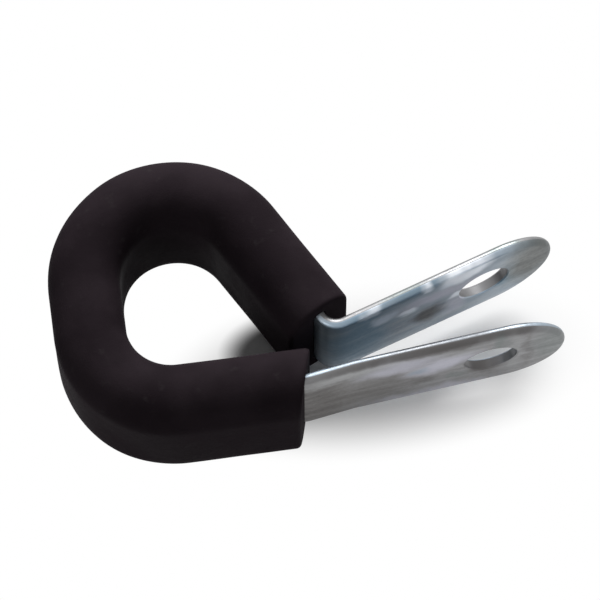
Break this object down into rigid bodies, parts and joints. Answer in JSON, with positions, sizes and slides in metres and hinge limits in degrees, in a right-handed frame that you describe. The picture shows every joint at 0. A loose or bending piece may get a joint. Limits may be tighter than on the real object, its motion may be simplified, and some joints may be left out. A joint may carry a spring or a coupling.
{
  "type": "p clip",
  "caption": "P-shaped cable clip: flat zinc-plated steel strip bent into an open loop with two splayed bolt ears, its loop covered by a thick black rubber sleeve",
  "frame": {"origin": "centre of the cable loop's main arc, at the middle of the strip's width", "axes": "+Z along the loop's axis, across the strip; +X along the clip's front wall towards the ears; +Y from the front ear to the back ear"},
  "size_m": [0.0492, 0.0279, 0.0152],
  "materials": {
    "zinc_plated_steel": "satin zinc plate, lightly smeared",
    "black_rubber": "smooth satin rubber"
  },
  "bodies": {
    "root": {"steel_band": "zinc_plated_steel", "rubber_sleeve": "black_rubber"}
  },
  "joints": []
}
